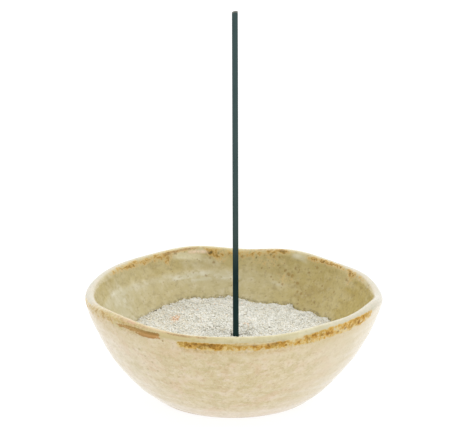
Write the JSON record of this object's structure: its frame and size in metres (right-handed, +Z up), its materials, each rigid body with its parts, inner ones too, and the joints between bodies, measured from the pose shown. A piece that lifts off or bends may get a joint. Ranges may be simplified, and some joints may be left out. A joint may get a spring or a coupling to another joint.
{
  "type": "incense burner",
  "caption": "Hand-formed glazed stoneware bowl with a bed of coarse pale sand that holds a thin square incense stick upright.",
  "frame": {"origin": "centre of the bowl's foot, on the surface it stands on", "axes": "+Z up, along the incense stick; -Y towards the viewer; +X to the viewer's right"},
  "size_m": [0.1089, 0.1112, 0.144],
  "materials": {
    "glazed_stoneware": "gloss",
    "sand": "matte",
    "incense": "matte"
  },
  "bodies": {
    "bowl": {"bowl": "glazed_stoneware", "sand_bed": "sand"},
    "stick": {"incense_stick": "incense"}
  },
  "joints": [
    {"name": "stick_lift", "type": "slide", "parent": "bowl", "child": "stick", "axis": [-0.0028, 0, 1], "range_m": [0, 0.035]}
  ]
}
